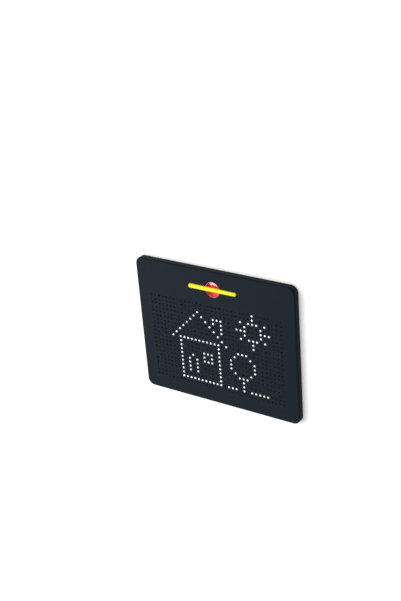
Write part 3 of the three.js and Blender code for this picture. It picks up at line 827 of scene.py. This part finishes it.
def stroke_holes(lines):
    """The holes that the lines of a stroke pass, each once."""
    holes = []
    for line in lines:
        for (column, row), (next_column, next_row) in zip(line, line[1:]):
            steps = max(abs(next_column - column), abs(next_row - row))
            for step in range(steps + 1):
                hole = (
                    column + (next_column - column) * step // steps,
                    row + (next_row - row) * step // steps,
                )
                if hole not in holes:
                    holes.append(hole)
    return holes


def beads_at(holes, z, lines):
    """A ball at each of some holes, with its middle at a height."""
    return set_down(ball(lines), np.array([(*hole_place(*hole), z) for hole in holes]))


# Back cover, feet and screws

def back_cover_shape():
    """The cover's plate with its rounded edge, a stepped hole for each screw, a shallow seat for
    each foot, and the lip that stands inside the side walls."""
    head_radius = SCREW_HEAD_RADIUS + SEAT_GAP
    pad_radius = head_radius + SCREW_PAD_WALL
    foot_radius = (foot_high[0] - foot_low[0]) / 2 + SEAT_GAP
    seat_z = BACK_Z + FOOT_RECESS
    top_z = BACK_Z + BACK_SKIN
    hole_profile = [
        (head_radius + SEAM_EDGE, BACK_Z), (head_radius, BACK_Z + SEAM_EDGE),
        (head_radius, SCREW_SEAT_Z), (PILOT_RADIUS, SCREW_SEAT_Z), (PILOT_RADIUS, SCREW_PAD_Z),
        (pad_radius, SCREW_PAD_Z), (pad_radius, top_z),
    ]
    seat_profile = [(foot_radius, BACK_Z), (foot_radius, seat_z), (0, seat_z)]
    edge = [
        case_loop(inset, BACK_Z + drop)
        for inset, drop in quarter_round(BACK_EDGE_RADIUS, BACK_EDGE_STEPS)
    ]
    lip_inset = SIDE_WALL + SEAT_GAP
    lip_top = cover_high[2]
    lip = [
        case_loop(lip_inset, top_z), case_loop(lip_inset, lip_top),
        case_loop(lip_inset + LIP_WALL, lip_top), case_loop(lip_inset + LIP_WALL, top_z),
    ]
    parts, low_loops, high_loops = [], [], []
    for centre in node_places(SCREW_NAMES):
        rings = turned_rings(hole_profile, centre, SCREW_HOLE_SIDES)
        parts.append(loft(rings))
        low_loops.append(rings[0])
        high_loops.append(rings[-1])
    for centre in node_places(FOOT_NAMES):
        rings = turned_rings(seat_profile, centre, FOOT_SIDES)
        parts.append(loft(rings))
        low_loops.append(rings[0])
    parts += [
        flat_face(edge[0], low_loops),
        loft([*edge, case_loop(0, top_z - SEAM_EDGE), case_loop(SEAM_EDGE, top_z), lip[0]]),
        loft(lip),
        flat_face(lip[-1], high_loops),
    ]
    return joined(parts)


def foot_shape(name):
    """A round rubber foot: a profile turned about its middle, with a rounded edge and a ring groove
    in its sole at each share of its radius, with slanted sides."""
    low, high = frame_box(name)
    radius = (high[0] - low[0]) / 2
    centre = (low + high) / 2
    edge_round = quarter_round(FOOT_EDGE_ROUND, FOOT_EDGE_STEPS)
    edge = [(radius - drop, draw) for draw, drop in edge_round[::-1]]
    sole = [(0, 0)]
    for share in FOOT_GROOVE_SHARES:
        for across, down in FOOT_GROOVE_SECTION:
            sole.append((radius * share + across * FOOT_GROOVE_HALF, down * FOOT_GROOVE_DEPTH))
    return turned([*sole, *edge, (radius, high[2]), (0, high[2])], centre, FOOT_SIDES)


def screw_shape(name):
    """A pan head with a cross recess, and a plain shank with its point. The head's face is domed by
    the square of a ring's share of the radius. It dips where the smaller of a place's two distances
    from the cross's lines is less than half an arm's width."""
    low, high = frame_box(name)
    centre = (low + high) / 2
    flat_radius = SCREW_HEAD_RADIUS - SCREW_HEAD_ROUND
    angle = full_turn(SCREW_SIDES)
    rows = []
    for share in SCREW_RING_SHARES:
        x, y = share * flat_radius * np.cos(angle), share * flat_radius * np.sin(angle)
        in_arm = np.minimum(np.abs(x), np.abs(y)) < CROSS_HALF_WIDTH
        inside = in_arm & (share * flat_radius < CROSS_REACH)
        z = low[2] + np.where(inside, CROSS_DEPTH, SCREW_HEAD_DOME * share ** 2)
        rows.append(np.column_stack((centre[0] + x, centre[1] + y, z)))
    rim = [
        (SCREW_HEAD_RADIUS - drop, low[2] + SCREW_HEAD_DOME + draw)
        for draw, drop in quarter_round(SCREW_HEAD_ROUND, SCREW_HEAD_STEPS)[::-1]
    ]
    head_top = low[2] + SCREW_HEAD_HEIGHT
    body = [
        *rim[1:], (SCREW_HEAD_RADIUS, head_top), (SCREW_RADIUS, head_top),
        (SCREW_RADIUS, high[2] - SCREW_POINT), (0, high[2]),
    ]
    return loft([*rows, *turned_rings(body, centre, SCREW_SIDES)])


# Materials. A grain and its depth are in millimetres, as is COLOUR_DRIFT, over which a plastic's
# colour drifts. A roughness varies by its swing to each side. ABS, polystyrene and rubber all have
# an index of refraction near PLASTIC_IOR.
COLOUR_DRIFT = 70.0
PLASTIC_SWING = 0.05
METAL_SWING = 0.03
PLASTIC_IOR = 1.53
WHITE = (1.0, 1.0, 1.0, 1.0)


def linear(code):
    """An sRGB hex colour as the linear colour that shaders take."""
    parts = [int(code[i:i + 2], 16) / 255 for i in (0, 2, 4)]
    return (*[p / 12.92 if p <= 0.04045 else ((p + 0.055) / 1.055) ** 2.4 for p in parts], 1.0)


def add_node(tree, kind, inputs=None, **settings):
    """Adds a node with its settings. An input, by its name or its number, takes a value, or a
    socket to be linked to it. A Mix node's colours are its inputs 6 and 7 and its output 2,
    because each kind of value has sockets of the same names."""
    node = tree.nodes.new(kind)
    for name, value in settings.items():
        setattr(node, name, value)
    for name, value in (inputs or {}).items():
        if isinstance(value, bpy.types.NodeSocket):
            tree.links.new(value, node.inputs[name])
        else:
            node.inputs[name].default_value = value
    return node


def new_material(name):
    """A material with an empty node tree, and the tree's output and Object coordinates."""
    material = bpy.data.materials.new(name)
    material.use_nodes = True
    tree = material.node_tree
    tree.nodes.clear()
    output = add_node(tree, "ShaderNodeOutputMaterial")
    place = add_node(tree, "ShaderNodeTexCoord").outputs["Object"]
    return material, tree, output, place


def per_mm(size):
    """The noise scale whose grains are about a size in millimetres, on coordinates in metres."""
    return 1 / (size * MM)


def plastic(name, light, dark, roughness, grain, depth, specular, marked=None):
    """A moulded plastic: two near colours drift into each other over a long distance, and a fine
    grain is raised on the surface. Its roughness varies a little with the same grain. marked gives
    a colour to each attribute of the mesh that changes the colour where it is 1."""
    material, tree, output, place = new_material(name)
    drifting = add_node(tree, "ShaderNodeTexNoise", {
        "Vector": place, "Scale": per_mm(COLOUR_DRIFT), "Detail": 2.0,
    })
    colour = add_node(tree, "ShaderNodeMix", {
        "Factor": drifting.outputs["Fac"], 6: linear(dark), 7: linear(light),
    }, data_type="RGBA")
    for attribute, code in (marked or {}).items():
        mark = add_node(tree, "ShaderNodeAttribute", attribute_name=attribute)
        colour = add_node(tree, "ShaderNodeMix", {
            "Factor": mark.outputs["Fac"], 6: colour.outputs[2], 7: linear(code),
        }, data_type="RGBA")
    fine = add_node(tree, "ShaderNodeTexNoise", {
        "Vector": place, "Scale": per_mm(grain), "Detail": 3.0,
    })
    raised = add_node(tree, "ShaderNodeBump", {
        "Height": fine.outputs["Fac"], "Distance": depth * MM, "Strength": 1.0,
    })
    rough = add_node(tree, "ShaderNodeMapRange", {
        "Value": fine.outputs["Fac"],
        "To Min": roughness - PLASTIC_SWING, "To Max": roughness + PLASTIC_SWING,
    })
    shader = add_node(tree, "ShaderNodeBsdfPrincipled", {
        "Base Color": colour.outputs[2], "Roughness": rough.outputs["Result"],
        "Normal": raised.outputs["Normal"], "Specular IOR Level": specular,
        "IOR": PLASTIC_IOR,
    })
    tree.links.new(shader.outputs["BSDF"], output.inputs["Surface"])
    return material


def metal(name, light, dark, roughness, grain, depth):
    """An uncoated or plated metal: its tint varies slightly, with fine marks in its surface."""
    material, tree, output, place = new_material(name)
    marks = add_node(tree, "ShaderNodeTexNoise", {
        "Vector": place, "Scale": per_mm(grain), "Detail": 4.0,
    })
    colour = add_node(tree, "ShaderNodeMix", {
        "Factor": marks.outputs["Fac"], 6: linear(dark), 7: linear(light),
    }, data_type="RGBA")
    raised = add_node(tree, "ShaderNodeBump", {
        "Height": marks.outputs["Fac"], "Distance": depth * MM, "Strength": 1.0,
    })
    rough = add_node(tree, "ShaderNodeMapRange", {
        "Value": marks.outputs["Fac"],
        "To Min": roughness - METAL_SWING, "To Max": roughness + METAL_SWING,
    })
    shader = add_node(tree, "ShaderNodeBsdfPrincipled", {
        "Base Color": colour.outputs[2], "Roughness": rough.outputs["Result"],
        "Normal": raised.outputs["Normal"], "Metallic": 1.0,
    })
    tree.links.new(shader.outputs["BSDF"], output.inputs["Surface"])
    return material


# Floor, world and lamps, in metres. A light is given by the share that it adds of the light under
# which a level white surface looks white. A sun has its name, where it stands, how wide it looks in
# degrees, and its share. A lamp has its two sides in place of the width.
FLOOR_REACH = 14.0
FLOOR_BOUNCE = 0.7
FLOOR_LIFT = 0.2
WORLD_LIGHT = 0.55
SUNS = (("broad_key", (-1.2, 1.6, 2.4), 45, 0.3),)
LAMPS = (("strip_lamp", (-0.72, -0.16, 0.93), (0.44, 0.36), 0.23),)


def make_stage():
    """A pale floor that reads white to the camera and in gloss and keeps the board's shadow, a
    white world, a broad key light from the far left, and a strip lamp at the left, which draws the
    highlight in the finger well."""
    material, tree, output, _ = new_material("pale_floor")
    rays = add_node(tree, "ShaderNodeLightPath")
    seen = add_node(tree, "ShaderNodeMath", {
        0: rays.outputs["Is Camera Ray"], 1: rays.outputs["Is Glossy Ray"],
    }, operation="MAXIMUM")
    colour = add_node(tree, "ShaderNodeMix", {
        "Factor": seen.outputs[0], 6: (*[FLOOR_BOUNCE] * 3, 1.0), 7: WHITE,
    }, data_type="RGBA")
    shade = add_node(tree, "ShaderNodeBsdfDiffuse", {"Color": colour.outputs[2]})
    lift = add_node(tree, "ShaderNodeMath", {
        0: seen.outputs[0], 1: FLOOR_LIFT,
    }, operation="MULTIPLY")
    glow = add_node(tree, "ShaderNodeEmission", {"Strength": lift.outputs[0]})
    both = add_node(tree, "ShaderNodeAddShader", {0: shade.outputs[0], 1: glow.outputs[0]})
    tree.links.new(both.outputs[0], output.inputs["Surface"])
    mesh = bpy.data.meshes.new("floor")
    signs = ((-1, -1), (1, -1), (1, 1), (-1, 1))
    corners = [(x * FLOOR_REACH, y * FLOOR_REACH, 0) for x, y in signs]
    mesh.from_pydata(corners, [], [(0, 1, 2, 3)])
    mesh.materials.append(material)
    floor = bpy.data.objects.new("floor", mesh)
    bpy.context.scene.collection.objects.link(floor)

    world = bpy.data.worlds.new("studio")
    bpy.context.scene.world = world
    world.use_nodes = True
    tree = world.node_tree
    tree.nodes.clear()
    rays = add_node(tree, "ShaderNodeLightPath")
    first = add_node(tree, "ShaderNodeMath", {
        0: rays.outputs["Is Camera Ray"], 1: rays.outputs["Is Glossy Ray"],
    }, operation="MAXIMUM")
    seen = add_node(tree, "ShaderNodeMath", {
        0: first.outputs[0], 1: rays.outputs["Is Transmission Ray"],
    }, operation="MAXIMUM")
    strength = add_node(tree, "ShaderNodeMapRange", {
        "Value": seen.outputs[0], "To Min": WORLD_LIGHT, "To Max": 1.0,
    })
    background = add_node(tree, "ShaderNodeBackground", {
        "Color": WHITE, "Strength": strength.outputs["Result"],
    })
    output = add_node(tree, "ShaderNodeOutputWorld")
    tree.links.new(background.outputs["Background"], output.inputs["Surface"])

    for name, place, spread, share in SUNS:
        data = bpy.data.lights.new(name, "SUN")
        data.angle = math.radians(spread)
        data.energy = share * math.pi * Vector(place).length / place[2]
        hang_lamp(data, place)
    for name, place, size, share in LAMPS:
        data = bpy.data.lights.new(name, "AREA")
        data.shape = "RECTANGLE"
        data.size, data.size_y = size
        data.energy = share * math.pi ** 2 * Vector(place).length ** 3 / place[2]
        hang_lamp(data, place)


def hang_lamp(data, place):
    """Hangs a lamp at a place, in metres, looking at the frame's origin."""
    lamp = bpy.data.objects.new(data.name, data)
    lamp.location = place
    lamp.rotation_euler = (-Vector(place)).to_track_quat("-Z", "Y").to_euler()
    bpy.context.scene.collection.objects.link(lamp)


def dress_frame(materials):
    """Gives the nodes of the frame that stay in view their materials."""
    for name, material in materials.items():
        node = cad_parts[name]
        node.data.materials.clear()
        node.data.materials.append(material)


place_camera()
make_stage()

# ABS with a fine moulded grain: matte, dark and slightly blue, with next to no gloss. The real
# grain is about 0.15 mm, too fine to show, and is drawn at 0.7 mm. The cells' walls are drawn a
# paler grey, painted light which keeps the holes from turning black, and the rounded edge and the
# side walls darker, as painted shade.
slate = plastic(
    "moulded_slate_abs", "18232B", "131D25", roughness=0.55, grain=0.7, depth=0.15,
    specular=0.06, marked={"painted_cell_light": "7E898F", "painted_edge_shade": "0D151B"},
)
# ABS from a polished mould: a clear highlight over an even, warm red, on a surface that waves by a
# micron over 2 mm.
red = plastic(
    "polished_red_abs", "EA5053", "E0464A", roughness=0.22, grain=2.0, depth=0.001, specular=1.0,
)
# ABS from a satin mould: a bright, even yellow with a soft, wide highlight.
yellow = plastic(
    "satin_yellow_abs", "FFFB2C", "FFF626", roughness=0.45, grain=1.5, depth=0.004, specular=0.18,
)
# Rolled polystyrene sheet: pale grey and smooth, seen only around the beads.
pale = plastic(
    "polystyrene_sheet", "BEC2C2", "B4B8B8", roughness=0.45, grain=0.8, depth=0.006, specular=0.4,
)
# Moulded rubber: nearly black and dull, with a grain that breaks up what light it returns.
rubber = plastic(
    "moulded_rubber", "202224", "1A1C1D", roughness=0.75, grain=0.4, depth=0.02, specular=0.3,
)
# Ground and polished ball steel: bright, nearly a mirror.
bead_steel = metal(
    "polished_ball_steel", "F2F4F5", "DEE2E4", roughness=0.2, grain=1.2, depth=0.001,
)
# The same steel for the beads that rest down in their cells: a little darker, as painted shade, and
# duller.
shaded_steel = metal(
    "shaded_ball_steel", "C4CACF", "B6BCC1", roughness=0.3, grain=1.2, depth=0.001,
)
# Zinc-plated steel: a cool grey, half dull, with fine marks.
zinc = metal("zinc_plated_steel", "A9AEB4", "8F959C", roughness=0.32, grain=0.6, depth=0.004)
# Nickel plate on the magnet: smooth, bright and slightly warm.
nickel = metal("nickel_plate", "D0CFCB", "C4C3BF", roughness=0.18, grain=0.8, depth=0.002)

face_shell = add_piece(
    "face_shell", front_shell_shape(), "board", slate, ["front_shell"],
)
mark_painted_shading(face_shell)
cover_plate = add_piece(
    "cover_plate", back_cover_shape(), "board", slate, ["back_cover"],
)
mark_painted_shading(cover_plate)
add_piece("well_dish", well_shape(), "board", red, ["finger_well"])
for part, shape in stylus_shapes().items():
    add_piece(f"yellow_{part}", shape, "stylus", yellow, [f"stylus_{part}"])
raised = set()
for stroke, lines in STROKES.items():
    holes = stroke_holes(lines)
    raised.update(holes)
    balls = beads_at(holes, RAISED_Z, RAISED_LINES)
    add_piece(
        f"{stroke}_beads", balls, f"beads_{stroke}", bead_steel,
        [f"raised_beads_{stroke}"],
    )
resting = [(c, r) for r in range(HOLE_ROWS) for c in range(HOLE_COLUMNS) if (c, r) not in raised]
balls = beads_at(resting, RESTING_Z, RESTING_LINES)
add_piece("resting_beads", balls, "board", shaded_steel)
for number, name in enumerate(FOOT_NAMES, 1):
    add_piece(f"foot_{number:02d}", foot_shape(name), "board", rubber, [name])
for number, name in enumerate(SCREW_NAMES, 1):
    add_piece(f"screw_{number:02d}", screw_shape(name), "board", zinc, [name])
dress_frame({"bead_floor_plate": pale, "stylus_keeper_plate": zinc, "stylus_tip_magnet": nickel})

bpy.context.scene.view_settings.view_transform = "Standard"
